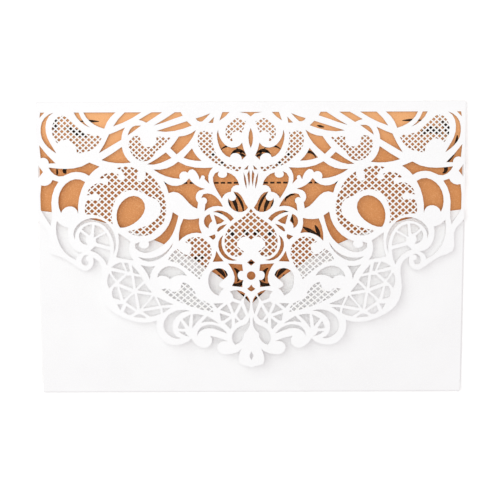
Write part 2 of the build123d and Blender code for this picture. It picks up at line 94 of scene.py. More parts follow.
# Finishes. A pattern is a noise scale per metre, its detail, and the two levels of the noise that
# it fades between.
PEARL_CLOUD = (45.0, 2.0, 0.35, 0.65)
PEARL_FLECK = (2600.0, 1.0, 0.45, 0.7)
GOLD_DRIFT = (14.0, 1.0, 0.3, 0.7)
GOLD_FLECK = (2200.0, 1.0, 0.5, 0.72)
INK_PATCH = (900.0, 2.0, 0.4, 0.7)
TABLE_GRAIN = (30.0, 2.0, 0.3, 0.7)
CUT_FACE = (0.15, 0.45)  # How far a face looks up or down, from a cut edge to the card's face.
FOOT_TO_MIDDLE = (0.3, 0.62)  # Shares of the insert's height where the gold changes.
MIDDLE_TO_HEAD = (0.84, 0.97)
DRIFT_REACH = 0.05  # How far those changes wander, as a share of the insert's height.

# Bumps of the papers: noise scales per metre, and depths.
PEARL_TOOTH, PEARL_WAVE = 3200.0, 70.0
GOLD_TOOTH, GOLD_WAVE = 2600.0, 60.0
TOOTH_DEPTH, PEARL_WAVE_DEPTH, GOLD_WAVE_DEPTH = 0.012 * MM, 0.06 * MM, 0.05 * MM

# Studio.
WHITE = (1.0, 1.0, 1.0)
TABLE_REACH = 2.0  # Half the table's side, in metres.
TABLE_DROP = 0.02 * MM  # How far the table lies under the card.
CLIP_START = 0.01  # The camera shows nothing nearer than this, in metres.

# Lattice fields of one half of the lace, in millimetres across from the centre line and down from
# the fold: outline, pitch across and down, one gap's centre. Each side of an outline lists its
# first corner, then the points that it bends through.
LATTICE_FIELDS = [
    ([[(2.0, 8.6)], [(5.5, 7.2), (10.2, 10.5), (10.2, 15.5)], [(8.6, 17.0)],
      [(7.7, 16.9), (7.9, 13.6), (5.0, 12.7)], [(3.9, 13.4), (2.6, 10.6)]],
     (2.53, 2.27), (6.85, 10.7)),
    ([[(16.3, 12.9), (20.0, 12.6)], [(21.9, 12.9), (22.6, 17.6), (17.0, 25.0), (9.0, 28.9)],
      [(5.1, 29.9)], [(4.0, 27.9), (10.5, 26.3), (15.2, 21.6), (16.4, 15.9)]],
     (2.53, 2.27), (18.6, 15.8)),
    ([[(34.0, 15.3), (37.0, 15.0)], [(40.3, 14.8), (41.7, 18.6), (44.8, 19.3), (46.8, 16.8)],
      [(47.2, 14.9)], [(48.2, 14.5), (51.9, 17.0), (51.5, 20.8), (47.3, 25.1)],
      [(40.7, 21.6), (36.8, 18.2)]],
     (2.53, 2.35), (37.3, 18.2)),
    ([[(63.5, 15.6)],
      [(65.0, 14.4), (70.9, 13.1), (76.0, 8.4), (80.4, 5.9), (84.1, 9.2), (84.3, 14.4)],
      [(81.8, 18.2), (78.7, 16.0), (75.5, 18.2)], [(74.0, 21.9), (68.8, 20.9)]],
     (2.55, 2.35), (79.1, 11.45)),
    ([[(45.4, 29.5), (40.5, 33.8), (37.1, 40.2), (36.3, 47.0), (38.8, 53.5), (45.5, 57.3)],
      [(53.4, 55.1), (43.5, 52.3), (38.8, 47.5), (39.7, 42.3), (43.8, 40.3), (50.0, 37.5),
       (57.8, 41.7), (59.6, 47.5)],
      [(59.3, 52.3), (64.8, 48.8)], [(70.9, 48.0), (71.1, 45.0)],
      [(70.2, 42.1), (67.3, 41.9), (64.7, 41.6), (65.4, 39.4), (68.4, 39.6)],
      [(70.3, 39.8), (67.6, 35.7), (63.8, 34.7), (61.2, 35.5), (61.2, 33.3)],
      [(64.7, 32.7), (60.5, 30.2)], [(56.4, 31.0), (56.6, 33.2), (54.4, 33.4), (54.4, 30.6)],
      [(57.1, 28.3), (52.5, 27.6)], [(47.2, 29.8), (48.6, 31.3), (48.0, 34.0), (45.7, 32.8)]],
     (2.93, 2.63), (43.15, 37.4)),
    ([[(28.2, 60.0), (25.6, 62.5), (27.0, 65.4)], [(31.7, 63.0), (34.4, 65.3)],
      [(35.8, 67.9), (29.5, 70.3), (25.5, 73.3)],
      [(22.2, 76.2), (19.6, 71.6), (17.0, 66.0), (18.2, 60.3), (23.3, 57.8)]],
     (2.87, 2.6), (21.0, 64.3)),
    ([[(16.4, 90.4), (17.4, 87.3), (22.4, 84.4), (25.6, 79.9)],
      [(30.5, 77.2), (30.6, 80.2), (33.5, 81.6)], [(36.1, 79.4), (37.3, 80.2)],
      [(39.7, 80.3), (36.0, 83.1), (29.4, 86.6), (22.6, 89.0)]],
     (2.95, 2.5), (25.8, 85.4)),
]

# The centre medallion's field, its right half from the upper point to the lower one.
CENTRE_FIELD = [[(0.0, 45.8), (4.5, 50.2), (9.6, 54.2), (11.4, 60.0), (9.0, 65.6), (5.0, 66.2)],
                [(3.1, 64.2), (6.1, 60.9), (3.6, 57.9)], [(0.0, 59.5)]]
CENTRE_PITCH = (3.2, 2.85)
CENTRE_GAP = (0.0, 52.35)

# Ink on the insert, placed by where it shows through the lace: a stroke's two ends with the point
# that it bends through between them, its width at its middle, and the halves of the insert that it
# is printed on.
BOTH = (1, -1)
RIGHT = (1,)
LEFT = (-1,)
INK_STROKES = [
    ((64.6, 8.3), (68.8, 8.1), (73.0, 8.2), 1.1, BOTH),
    ((79.8, 8.6), (83.7, 11.4), (84.3, 16.4), 2.8, RIGHT),
    ((72.4, 14.6), (77.2, 12.2), (81.8, 14.6), 3.0, RIGHT),
    ((82.6, 7.2), (83.6, 9.4), (82.4, 12.2), 2.9, LEFT),
    ((79.2, 10.4), (74.7, 12.8), (69.6, 14.4), 2.8, LEFT),
    ((13.0, 20.6), (9.4, 18.8), (5.4, 20.2), 0.9, BOTH),
    ((8.4, 22.6), (5.8, 20.8), (2.4, 22.2), 1.5, BOTH),
    ((6.6, 24.6), (4.6, 22.6), (2.0, 24.2), 1.3, BOTH),
    ((83.2, 28.0), (83.0, 29.6), (83.2, 31.2), 0.9, LEFT),
    ((78.9, 28.4), (79.8, 29.1), (79.0, 30.0), 1.9, LEFT),
    ((15.4, 22.0), (16.2, 22.9), (16.8, 23.9), 2.1, BOTH),
    ((11.2, 25.8), (12.2, 26.5), (13.2, 27.2), 2.1, BOTH),
    ((81.8, 27.4), (83.6, 28.6), (82.2, 30.6), 1.7, RIGHT),
    ((21.2, 24.4), (24.4, 21.4), (27.8, 24.0), 1.2, RIGHT),
    ((28.2, 10.2), (29.8, 10.6), (31.4, 11.0), 1.0, RIGHT),
    ((88.2, 14.6), (87.2, 20.4), (84.4, 26.0), 1.9, RIGHT),
    ((3.2, 47.4), (4.2, 43.0), (7.2, 38.8), 1.2, BOTH),
    ((5.8, 47.4), (6.8, 43.4), (9.6, 39.0), 1.7, BOTH),
    ((8.4, 47.4), (9.4, 43.8), (12.0, 39.6), 1.3, BOTH),
    ((11.0, 46.2), (12.0, 43.2), (14.4, 39.8), 1.2, BOTH),
    ((14.6, 42.6), (16.4, 40.0), (19.0, 39.8), 1.1, RIGHT),
    ((18.6, 42.2), (20.4, 42.6), (21.8, 44.4), 1.3, RIGHT),
    ((15.2, 45.6), (16.8, 48.4), (18.2, 52.0), 1.7, RIGHT),
    ((12.0, 49.0), (15.4, 47.2), (19.6, 48.0), 1.2, RIGHT),
    ((12.2, 47.9), (14.0, 47.4), (15.8, 47.9), 0.9, LEFT),
    ((1.2, 54.8), (2.2, 55.9), (3.4, 56.8), 2.6, BOTH),
    ((7.2, 55.2), (8.4, 56.2), (9.4, 57.6), 2.6, BOTH),
    ((22.4, 53.6), (25.6, 55.4), (28.8, 57.0), 1.8, RIGHT),
    ((27.6, 52.8), (28.8, 55.4), (29.8, 58.2), 1.6, RIGHT),
    ((20.0, 65.8), (22.8, 67.0), (25.8, 68.8), 2.4, LEFT),
    ((16.6, 70.8), (13.8, 72.2), (11.2, 75.6), 1.9, BOTH),
    ((12.6, 70.2), (10.8, 72.8), (10.4, 75.6), 1.4, BOTH),
    ((7.4, 71.4), (5.4, 74.0), (6.0, 77.4), 1.8, BOTH),
    ((3.4, 76.6), (5.6, 78.8), (8.4, 78.0), 1.9, BOTH),
    ((1.2, 85.8), (3.4, 83.6), (7.4, 82.6), 1.3, BOTH),
]
INK_DASHES = [(3.6, 34.5), (6.4, 34.5), (9.2, 34.5), (12.0, 34.5), (14.8, 34.5), (22.6, 34.5),
              (25.4, 34.5), (28.2, 34.5), (31.0, 34.5), (33.8, 34.5), (36.2, 34.5)]
INK_DOTS = [(6.8, 21.6), (4.2, 21.4), (8.6, 24.2), (14.2, 74.8), (0.4, 69.0)]


# Outlines.

def arc_points(start, through, end, step):
    """Points along the circle through three points, without the last."""
    (ax, ay), (bx, by), (cx, cy) = start, through, end
    span = 2 * (ax * (by - cy) + bx * (cy - ay) + cx * (ay - by))
    a, b, c = ax * ax + ay * ay, bx * bx + by * by, cx * cx + cy * cy
    centre = ((a * (by - cy) + b * (cy - ay) + c * (ay - by)) / span,
              (a * (cx - bx) + b * (ax - cx) + c * (bx - ax)) / span)
    radius = hypot(ax - centre[0], ay - centre[1])
    first = atan2(ay - centre[1], ax - centre[0])
    turn = (atan2(cy - centre[1], cx - centre[0]) - first) % (2 * pi)
    middle = (atan2(by - centre[1], bx - centre[0]) - first) % (2 * pi)
    if middle > turn:
        turn -= 2 * pi
    count = max(2, ceil(abs(turn) * radius / step))
    return [(centre[0] + radius * cos(first + turn * k / count),
             centre[1] + radius * sin(first + turn * k / count)) for k in range(count)]


def smooth_points(knots, step):
    """Points along a smooth curve through the knots, without the last."""
    knots = [Vector(knot) for knot in knots]
    spans = [(after - before).length for before, after in zip(knots, knots[1:])]
    slopes = [(after - before) / span for before, after, span in zip(knots, knots[1:], spans)]
    headings = [(slopes[k] * spans[k + 1] + slopes[k + 1] * spans[k]) / (spans[k] + spans[k + 1])
                for k in range(len(slopes) - 1)]
    # At its two ends the curve runs out without bending.
    headings.insert(0, slopes[0] * 1.5 - headings[0] * 0.5)
    headings.append(slopes[-1] * 1.5 - headings[-1] * 0.5)
    points = []
    for k, span in enumerate(spans):
        count = max(2, ceil(span / step))
        for number in range(count):
            t = number / count
            points.append(knots[k] * (2 * t ** 3 - 3 * t ** 2 + 1)
                          + headings[k] * span * (t ** 3 - 2 * t ** 2 + t)
                          + knots[k + 1] * (3 * t ** 2 - 2 * t ** 3)
                          + headings[k + 1] * span * (t ** 3 - t ** 2))
    return [tuple(point) for point in points]


def outline_points(sides, step=OUTLINE_STEP):
    """The corners and curve points of a closed outline."""
    points = []
    for side, following in zip(sides, sides[1:] + sides[:1]):
        if len(side) == 1:
            points.append(side[0])
        elif len(side) == 2:
            points += arc_points(side[0], side[1], following[0], step)
        else:
            points += smooth_points([*side, following[0]], step)
    return points


def mirrored(sides):
    """The same sides on the left half of the lace."""
    return [[(-across, down) for across, down in side] for side in sides]


def joined_halves(sides):
    """Sides from one point of the centre line to another, joined to their own reflection."""
    back = []
    for side, following in zip(mirrored(sides[:-1]), mirrored(sides[1:])):
        back.insert(0, [following[0], *reversed(side[1:])])
    return sides[:-1] + back


def widened(points, lap):
    """The outline moved outwards by the lap, so that what fills it ends inside the card."""
    area = sum(a[0] * b[1] - b[0] * a[1] for a, b in zip(points, points[1:] + points[:1]))
    side = 1 if area > 0 else -1
    moved = []
    for before, here, after in zip(points[-1:] + points[:-1], points, points[1:] + points[:1]):
        arriving = (Vector(here) - Vector(before)).normalized()
        leaving = (Vector(after) - Vector(here)).normalized()
        outward = Vector((arriving.y + leaving.y, -arriving.x - leaving.x)) * side
        if outward.length < SHARP_TURN:
            moved.append(here)
            continue
        reach = min(2 / outward.length, LONGEST_REACH)
        moved.append(tuple(Vector(here) + outward.normalized() * lap * reach))
    return moved


# Meshes.

def object_from(bm, name):
    """A new object in the scene with the mesh, which is freed."""
    mesh = bpy.data.meshes.new(name)
    bm.to_mesh(mesh)
    bm.free()
    made = bpy.data.objects.new(name, mesh)
    bpy.context.scene.collection.objects.link(made)
    return made


def finished_piece(bm, name, material):
    """Makes the mesh a piece of the object, with its faces outwards and its finish on."""
    bmesh.ops.recalc_face_normals(bm, faces=bm.faces)
    piece = object_from(bm, name)
    piece.data.materials.append(material)
    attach(piece, "root")
    return piece


def less_cutters(bm, cutters):
    """The first mesh without what the cutters take away."""
    for part in (bm, cutters):
        bmesh.ops.recalc_face_normals(part, faces=part.faces)
    card, tool = object_from(bm, "card"), object_from(cutters, "cutters")
    cut = card.modifiers.new("cut", "BOOLEAN")
    cut.operation = "DIFFERENCE"
    cut.solver = "EXACT"
    cut.object = tool
    bpy.context.view_layer.update()
    result = bmesh.new()
    result.from_object(card, bpy.context.evaluated_depsgraph_get())
    if not result.faces:
        raise RuntimeError("the cutters took the whole card away")
    for made in (card, tool):
        mesh = made.data
        bpy.data.objects.remove(made)
        bpy.data.meshes.remove(mesh)
    return result


def thickened(bm, depth):
    """Turns the flat faces of a mesh into a closed plate, downwards by the depth."""
    result = bmesh.ops.extrude_face_region(bm, geom=list(bm.faces))
    lifted = [item for item in result["geom"] if isinstance(item, bmesh.types.BMVert)]
    bmesh.ops.translate(bm, vec=(0, 0, -depth), verts=lifted)


def bar_lines(pitch, gap_centre, lean):
    """The normal of one family of bars, where its first bar lies along that, and the spacing."""
    half_across, half_down = pitch[0] / 2, pitch[1] / 2
    length = hypot(half_across, half_down)
    normal = Vector((half_down, lean * half_across, 0)) / length
    spacing = 2 * half_across * half_down / length
    first = normal.dot(Vector((gap_centre[0], -gap_centre[1], 0))) + spacing / 2
    return normal, first, spacing


def cut_field(field, lap, sizes):
    """A field in millimetres, wider by the lap, split along its bars, and its gaps' faces."""
    sides, pitch, gap_centre = field
    bm = bmesh.new()
    outline = widened(outline_points(sides), lap / MM) if lap else outline_points(sides)
    bm.faces.new([bm.verts.new((across, -down, 0)) for across, down in outline])
    half_width = sizes.bar_width / MM / 2
    families = [bar_lines(pitch, gap_centre, lean) for lean in (1, -1)]
    for normal, first, spacing in families:
        places = [normal.dot(vert.co) for vert in bm.verts]
        low = ceil((min(places) - first - half_width) / spacing)
        high = floor((max(places) - first + half_width) / spacing)
        for number in range(low, high + 1):
            for edge in (-half_width, half_width):
                bmesh.ops.bisect_plane(
                    bm, geom=[*bm.verts, *bm.edges, *bm.faces], dist=PLANE_SNAP,
                    plane_co=normal * (first + number * spacing + edge), plane_no=normal)

    def in_a_gap(face):
        centre = face.calc_center_median_weighted()
        for normal, first, spacing in families:
            offset = (normal.dot(centre) - first) / spacing
            if abs(offset - round(offset)) * spacing <= half_width:
                return False
        return True

    return bm, {face for face in bm.faces if in_a_gap(face)}


def add_plate(target, bm, faces, top, depth):
    """Adds some flat faces to the target mesh as closed plates, from the top down by the depth."""
    bmesh.ops.delete(bm, geom=[face for face in bm.faces if face not in faces], context="FACES")
    bmesh.ops.translate(bm, vec=(0, 0, top), verts=bm.verts)
    thickened(bm, depth)
    plate = bpy.data.meshes.new("plate")
    bm.to_mesh(plate)
    bm.free()
    target.from_mesh(plate)
    bpy.data.meshes.remove(plate)


def lattice_fields():
    """Every field of the lace: its sides, pitch and one gap's centre."""
    for sides, pitch, gap_centre in LATTICE_FIELDS:
        yield sides, pitch, gap_centre
        yield mirrored(sides), pitch, (-gap_centre[0], gap_centre[1])
    yield joined_halves(CENTRE_FIELD), CENTRE_PITCH, CENTRE_GAP


def flap_placement(sizes):
    """Takes millimetres on the flap's outer face, across and down from the fold, to the frame."""
    tilt = sizes.flap_tilt
    up_the_flap = Vector((0, cos(tilt), -sin(tilt)))
    outward = Vector((0, sin(tilt), cos(tilt)))
    bend_centre = Vector((0, cad_high.y - sizes.bend_radius, sizes.bend_radius))
    origin = bend_centre + (outward + up_the_flap) * sizes.bend_radius
    axes = Matrix((Vector((1, 0, 0)), up_the_flap, outward)).transposed().to_4x4()
    return Matrix.Translation(origin) @ axes @ Matrix.Scale(MM, 4)


def covered_gaps(gaps, card, sizes):
    """The gaps of a field that the card still covers, apart from specks."""
    place = flap_placement(sizes)
    outward = place.col[2].xyz.normalized()
    found = set()
    for face in gaps:
        above = place @ face.calc_center_median_weighted() + outward * sizes.cutter_reach
        hit = card.ray_cast(above, -outward, 2 * sizes.cutter_reach)
        if hit[0] is not None and face.calc_area() * MM * MM > sizes.smallest_gap:
            found.add(face)
    return found


def on_insert(point, side, scene):
    """Where the line of sight through a point of the lace meets the insert's face, in metres."""
    on_flap = flap_placement(scene.invitation_lace) @ Vector((side * point[0], -point[1], 0))
    height = on_flap.z - insert_high.z
    return Vector((on_flap.x, on_flap.y - height * tan(scene.invitation_ink.sight_tilt), 0))


def ink_ribbon(bm, ends, width):
    """A stroke of ink along an arc, thin at both ends."""
    start, through, end = ends
    step = (hypot(end[0] - start[0], end[1] - start[1]) + STROKE_SLACK) / STROKE_STEPS
    line = [Vector((*point, 0)) for point in [*arc_points(start, through, end, step), end]]
    made = bmesh.ops.create_grid(bm, x_segments=len(line) - 1, y_segments=1, size=HALF_SIDE)
    for vert in made["verts"]:
        number = round((vert.co.x + HALF_SIDE) * (len(line) - 1))
        before, after = line[max(number - 1, 0)], line[min(number + 1, len(line) - 1)]
        along = (after - before).normalized()
        share = number / (len(line) - 1)
        reach = width / 2 * (STROKE_TIP + (1 - STROKE_TIP) * sin(pi * share))
        to_side = 1 if vert.co.y > 0 else -1
        vert.co = line[number] + Vector((-along.y, along.x, 0)) * reach * to_side


# Finishes.

def new_finish(name):
    """An empty node finish and its shader."""
    material = bpy.data.materials.new(name)
    material.use_nodes = True
    return material, material.node_tree, material.node_tree.nodes["Principled BSDF"]


def add_node(tree, kind, sockets=(), **settings):
    """A node with its settings, and its sockets set to values or linked to other sockets."""
    made = tree.nodes.new(kind)
    for key, value in settings.items():
        setattr(made, key, value)
    for key, value in dict(sockets).items():
        if isinstance(value, bpy.types.NodeSocket):
            tree.links.new(value, made.inputs[key])
        else:
            made.inputs[key].default_value = value
    return made


def tone(colour):
    """A colour with its alpha."""
    return (*colour, 1.0)


def mixed(tree, factor, first, second, blend="MIX"):
    """The mix of two colours."""
    made = add_node(tree, "ShaderNodeMix", {0: factor, 6: first, 7: second},
                    data_type="RGBA", blend_type=blend)
    return made.outputs[2]


def noise(tree, place, scale, detail, rough=0.5):
    """Noise of a scale per metre on Object coordinates."""
    made = add_node(tree, "ShaderNodeTexNoise", {
        "Vector": place, "Scale": scale, "Detail": detail, "Roughness": rough})
    return made.outputs["Fac"]


def ranged(tree, value, low=0.0, high=1.0, to_low=0.0, to_high=1.0):
    """A value's range taken to another, held at its ends."""
    made = add_node(tree, "ShaderNodeMapRange", {
        "Value": value, "From Min": low, "From Max": high, "To Min": to_low, "To Max": to_high})
    return made.outputs["Result"]


def patterned(tree, place, pattern, to_low=0.0, to_high=1.0):
    """A finish's pattern, as a value between two others."""
    scale, detail, low, high = pattern
    return ranged(tree, noise(tree, place, scale, detail), low, high, to_low, to_high)


def paper_bump(tree, shader, place, tooth, wave, wave_depth):
    """A paper's fine tooth and its slow, shallow unevenness."""
    tooth_height = noise(tree, place, tooth, detail=3.0, rough=0.6)
    wave_height = noise(tree, place, wave, detail=2.0)
    fine = add_node(tree, "ShaderNodeBump", {
        "Height": tooth_height, "Strength": 1.0, "Distance": TOOTH_DEPTH})
    broad = add_node(tree, "ShaderNodeBump", {
        "Height": wave_height, "Strength": 1.0, "Distance": wave_depth,
        "Normal": fine.outputs["Normal"]})
    tree.links.new(broad.outputs["Normal"], shader.inputs["Normal"])


def pearl_finish(colours):
    """White card with a faint pearl shimmer, toned a little where the laser cut it."""
    material, tree, shader = new_finish("pearl_card")
    place = add_node(tree, "ShaderNodeTexCoord").outputs["Object"]
    cloud = patterned(tree, place, PEARL_CLOUD)
    fleck = patterned(tree, place, PEARL_FLECK)
    body = mixed(tree, cloud, tone(colours.pearl), tone(colours.pearl_shade))
    body = mixed(tree, fleck, body, tone(colours.pearl_fleck))
    face = add_node(tree, "ShaderNodeSeparateXYZ",
                    {"Vector": add_node(tree, "ShaderNodeNewGeometry").outputs["Normal"]})
    upright = add_node(tree, "ShaderNodeMath", {0: face.outputs["Z"]}, operation="ABSOLUTE")
    cut = ranged(tree, upright.outputs[0], *CUT_FACE, to_low=1.0, to_high=0.0)
    gloss = ranged(tree, fleck, to_low=0.5, to_high=0.38)
    tree.links.new(mixed(tree, cut, body, tone(colours.cut_edge)), shader.inputs["Base Color"])
    tree.links.new(gloss, shader.inputs["Roughness"])
    shader.inputs["Specular IOR Level"].default_value = 0.45
    shader.inputs["Sheen Weight"].default_value = 0.04
    paper_bump(tree, shader, place, PEARL_TOOTH, PEARL_WAVE, PEARL_WAVE_DEPTH)
    return material


def gold_finish(colours):
    """Gold shimmer paper, pale at its head and deeper towards its foot."""
    material, tree, shader = new_finish("gold_card")
    place = add_node(tree, "ShaderNodeTexCoord").outputs["Object"]
    spot = add_node(tree, "ShaderNodeSeparateXYZ", {"Vector": place})
    drift = patterned(tree, place, GOLD_DRIFT, -DRIFT_REACH, DRIFT_REACH)
    rise = ranged(tree, spot.outputs["Y"], insert_low.y, insert_high.y)
    height = add_node(tree, "ShaderNodeMath", {0: rise, 1: drift}, operation="ADD").outputs[0]
    body = mixed(tree, ranged(tree, height, *FOOT_TO_MIDDLE),
                 tone(colours.gold_low), tone(colours.gold_middle))
    body = mixed(tree, ranged(tree, height, *MIDDLE_TO_HEAD), body, tone(colours.gold_high))
    fleck = patterned(tree, place, GOLD_FLECK)
    gloss = ranged(tree, fleck, to_low=0.48, to_high=0.3)
    tree.links.new(mixed(tree, fleck, body, tone(colours.gold_fleck)),
                   shader.inputs["Base Color"])
    tree.links.new(gloss, shader.inputs["Roughness"])
    shader.inputs["Metallic"].default_value = 0.2
    paper_bump(tree, shader, place, GOLD_TOOTH, GOLD_WAVE, GOLD_WAVE_DEPTH)
    return material


def ink_finish(colours):
    """Dark brown printing ink, a little thinner in places."""
    material, tree, shader = new_finish("brown_ink")
    place = add_node(tree, "ShaderNodeTexCoord").outputs["Object"]
    patch = patterned(tree, place, INK_PATCH)
    body = mixed(tree, patch, tone(colours.ink), tone(colours.ink_thin))
    tree.links.new(body, shader.inputs["Base Color"])
    shader.inputs["Roughness"].default_value = 0.7
    shader.inputs["Specular IOR Level"].default_value = 0.1
    return material


def seen_ray(tree):
    """One for rays of the camera, of reflections and through clear things, nought for light."""
    path = add_node(tree, "ShaderNodeLightPath").outputs
    either = add_node(tree, "ShaderNodeMath", {
        0: path["Is Camera Ray"], 1: path["Is Glossy Ray"]}, operation="MAXIMUM")
    seen = add_node(tree, "ShaderNodeMath", {
        0: either.outputs[0], 1: path["Is Transmission Ray"]}, operation="MAXIMUM")
    return seen.outputs[0]


def floor_finish(colours, studio):
    """The pale table, lifted to white for the camera, with the card's shadow on it."""
    material, tree, shader = new_finish("white_table")
    place = add_node(tree, "ShaderNodeTexCoord").outputs["Object"]
    grain = patterned(tree, place, TABLE_GRAIN, to_low=0.99)
    shaded = mixed(tree, 1.0, tone(colours.table), grain, "MULTIPLY")
    tree.links.new(shaded, shader.inputs["Base Color"])
    shader.inputs["Roughness"].default_value = 0.9
    shader.inputs["Specular IOR Level"].default_value = 0.1
    glow = add_node(tree, "ShaderNodeEmission", {
        "Color": tone(WHITE), "Strength": studio.table_glow})
    lit = add_node(tree, "ShaderNodeAddShader", {0: shader.outputs[0], 1: glow.outputs[0]})
    seen = add_node(tree, "ShaderNodeMixShader",
                    {0: seen_ray(tree), 1: shader.outputs[0], 2: lit.outputs[0]})
    tree.links.new(seen.outputs[0], tree.nodes["Material Output"].inputs["Surface"])
    return material


def white_surroundings(studio):
    """A white background, and an even fill light on the card from all round."""
    world = bpy.data.worlds.new("studio")
    bpy.context.scene.world = world
    world.use_nodes = True
    tree = world.node_tree
    seen = seen_ray(tree)
    strength = ranged(tree, seen, to_low=studio.fill_strength)
    colour = mixed(tree, seen, tone(studio.fill_colour), tone(WHITE))
    background = tree.nodes["Background"]
    tree.links.new(colour, background.inputs["Color"])
    tree.links.new(strength, background.inputs["Strength"])


def soft_lamp(name, place, size, power, colour):
    """A square lamp at a place, turned to the card's centre."""
    lamp = bpy.data.lights.new(name, "AREA")
    lamp.energy = power
    lamp.color = colour
    lamp.size = size
    holder = bpy.data.objects.new(name, lamp)
    holder.location = place
    holder.rotation_mode = "QUATERNION"
    holder.rotation_quaternion = (-place).to_track_quat("-Z", "Y")
    bpy.context.scene.collection.objects.link(holder)


def colour_property(name, description, colour):
    """A colour that a user may change."""
    return FloatVectorProperty(name=name, description=description, default=colour,
                               subtype="COLOR", size=3, min=0.0, max=1.0)


def number_property(name, description, value, unit="NONE"):
    """A number that a user may change."""
    return FloatProperty(name=name, description=description, default=value, unit=unit)


def length_property(name, description, size):
    """A length that a user may change, in metres."""
    return FloatProperty(name=name, description=description, default=size, unit="LENGTH",
                         precision=5)


def angle_property(name, description, degrees):
    """An angle that a user may change."""
    return FloatProperty(name=name, description=description, default=radians(degrees),
                         subtype="ANGLE", unit="ROTATION")


class InvitationLaceSizes(bpy.types.PropertyGroup):
    """Sizes of the flap and of its lattice."""

    flap_tilt: angle_property("Flap tilt", "How far the flap stands off the card", 2.9)
    bend_radius: length_property("Bend radius", "Outer radius of the flap's fold", 0.8 * MM)
    bar_width: length_property("Bar width", "Width of a lattice bar", 0.6 * MM)
    bar_depth: length_property("Bar depth", "Thickness of a lattice bar, just under the card's",
                               0.28 * MM)
    bar_inset: length_property("Bar inset", "How far a bar lies under the card's face", 0.01 * MM)
    bar_lap: length_property("Bar lap", "How far the bars run into the card round a field",
                             0.2 * MM)
    card_thickness: length_property("Card thickness", "Thickness of the pearl card", 0.3 * MM)
    cutter_reach: length_property("Cutter reach", "How far a gap's cutter stands off the card",
                                  0.15 * MM)
    smallest_gap: FloatProperty(name="Smallest gap",
                                description="Area of the smallest gap that is cut",
                                default=0.25 * MM * MM, unit="AREA", precision=9)


class InvitationInkSizes(bpy.types.PropertyGroup):
    """Sizes of the print on the insert."""

    dash_length: length_property("Dash length", "Length of a short dash", 1.9 * MM)
    dash_width: length_property("Dash width", "Height of a short dash", 0.8 * MM)
    dot_radius: length_property("Dot radius", "Radius of a dot", 0.6 * MM)
    ink_depth: length_property("Ink depth", "Thickness of the ink", 0.02 * MM)
    sight_tilt: angle_property("Sight tilt", "Slant of the view that shows it through the lace",
                               8.6)


class InvitationColours(bpy.types.PropertyGroup):
    """Colours of the papers, the ink and the table."""

    pearl: colour_property("Pearl", "The pearl card", (0.93, 0.924, 0.928))
    pearl_shade: colour_property("Pearl shade", "The pearl card where it is a little darker",
                                 (0.907, 0.898, 0.902))
    pearl_fleck: colour_property("Pearl fleck", "Shimmer in the pearl card",
                                 (0.947, 0.942, 0.945))
    cut_edge: colour_property("Cut edge", "The card's edge, toned by the laser", (0.80, 0.75, 0.67))
    gold_high: colour_property("Gold, head", "The insert at its head", (0.76, 0.37, 0.148))
    gold_middle: colour_property("Gold, middle", "The insert at its middle", (0.58, 0.228, 0.062))
    gold_low: colour_property("Gold, foot", "The insert at its foot", (0.55, 0.175, 0.036))
    gold_fleck: colour_property("Gold fleck", "Shimmer in the insert", (0.65, 0.29, 0.098))
    ink: colour_property("Ink", "The insert's print", (0.02, 0.01, 0.006))
    ink_thin: colour_property("Ink, thin", "The print where it is thin", (0.05, 0.028, 0.014))
    table: colour_property("Table", "The table under the card", (0.9, 0.9, 0.9))


class InvitationStudio(bpy.types.PropertyGroup):
    """The camera and the light."""

    camera_tilt: angle_property("Camera tilt", "How far the camera leans to the card's top edge",
                                8.6)
    camera_distance: length_property("Camera distance", "From the card's centre", 0.55)
    camera_lens: number_property("Lens", "Focal length in millimetres", 91.04)
    aim_across: length_property("Aim across", "Where the camera looks, across from the centre",
                                -0.05 * MM)
    aim_up: length_property("Aim up", "Where the camera looks, up from the centre", -1.06 * MM)
    camera_roll: angle_property("Camera roll", "Turn of the camera about its own line of sight",
                                -0.19)
    lamp_distance: length_property("Lamp distance", "From the card to each lamp", 1.8)
    key_direction: FloatVectorProperty(name="Key direction", size=3, default=(-0.4, 0.3, 0.87),
                                       description="From the card to the upper left lamp")
    key_power: number_property("Key power", "Power of the upper left lamp", 16.2, "POWER")
    key_colour: colour_property("Key colour", "Light of the upper left lamp", (0.93, 1.0, 0.96))
    key_size: length_property("Key size", "Side of the upper left lamp", 1.9)
    front_power: number_property("Front power", "Power of the lamp by the camera", 4.8, "POWER")
    front_size: length_property("Front size", "Side of the lamp by the camera", 0.8)
    fill_strength: number_property("Fill", "Strength of the light from all round", 0.575)
    fill_colour: colour_property("Fill colour", "The light from all round", (1.0, 0.955, 0.98))
    table_glow: number_property("Table glow", "What lifts the table to white", 0.2)


class INVITATION_OT_pearl_card(bpy.types.Operator):
    """Cut the small gaps at the rims of the lattice fields and give the card its pearl finish."""

    bl_idname = "invitation.pearl_card"
    bl_label = "Cut and finish the pearl card"

    def execute(self, context):
        scene = context.scene
        sizes = scene.invitation_lace
        bm = bmesh.new()
        bm.from_mesh(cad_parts["pocket_wrap"].data)
        bmesh.ops.remove_doubles(bm, verts=bm.verts, dist=WELD)
        card_tree = BVHTree.FromBMesh(bm)
        cutters = bmesh.new()
        cutter_depth = sizes.card_thickness + 2 * sizes.cutter_reach
        for field in lattice_fields():
            flat, gaps = cut_field(field, 0, sizes)
            covered = covered_gaps(gaps, card_tree, sizes)
            add_plate(cutters, flat, covered, sizes.cutter_reach / MM, cutter_depth / MM)
        bmesh.ops.transform(cutters, matrix=flap_placement(sizes), verts=cutters.verts)
        piece = finished_piece(less_cutters(bm, cutters), "lace_card",
                               pearl_finish(scene.invitation_colours))
        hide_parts("pocket_wrap")
        return {"FINISHED"}


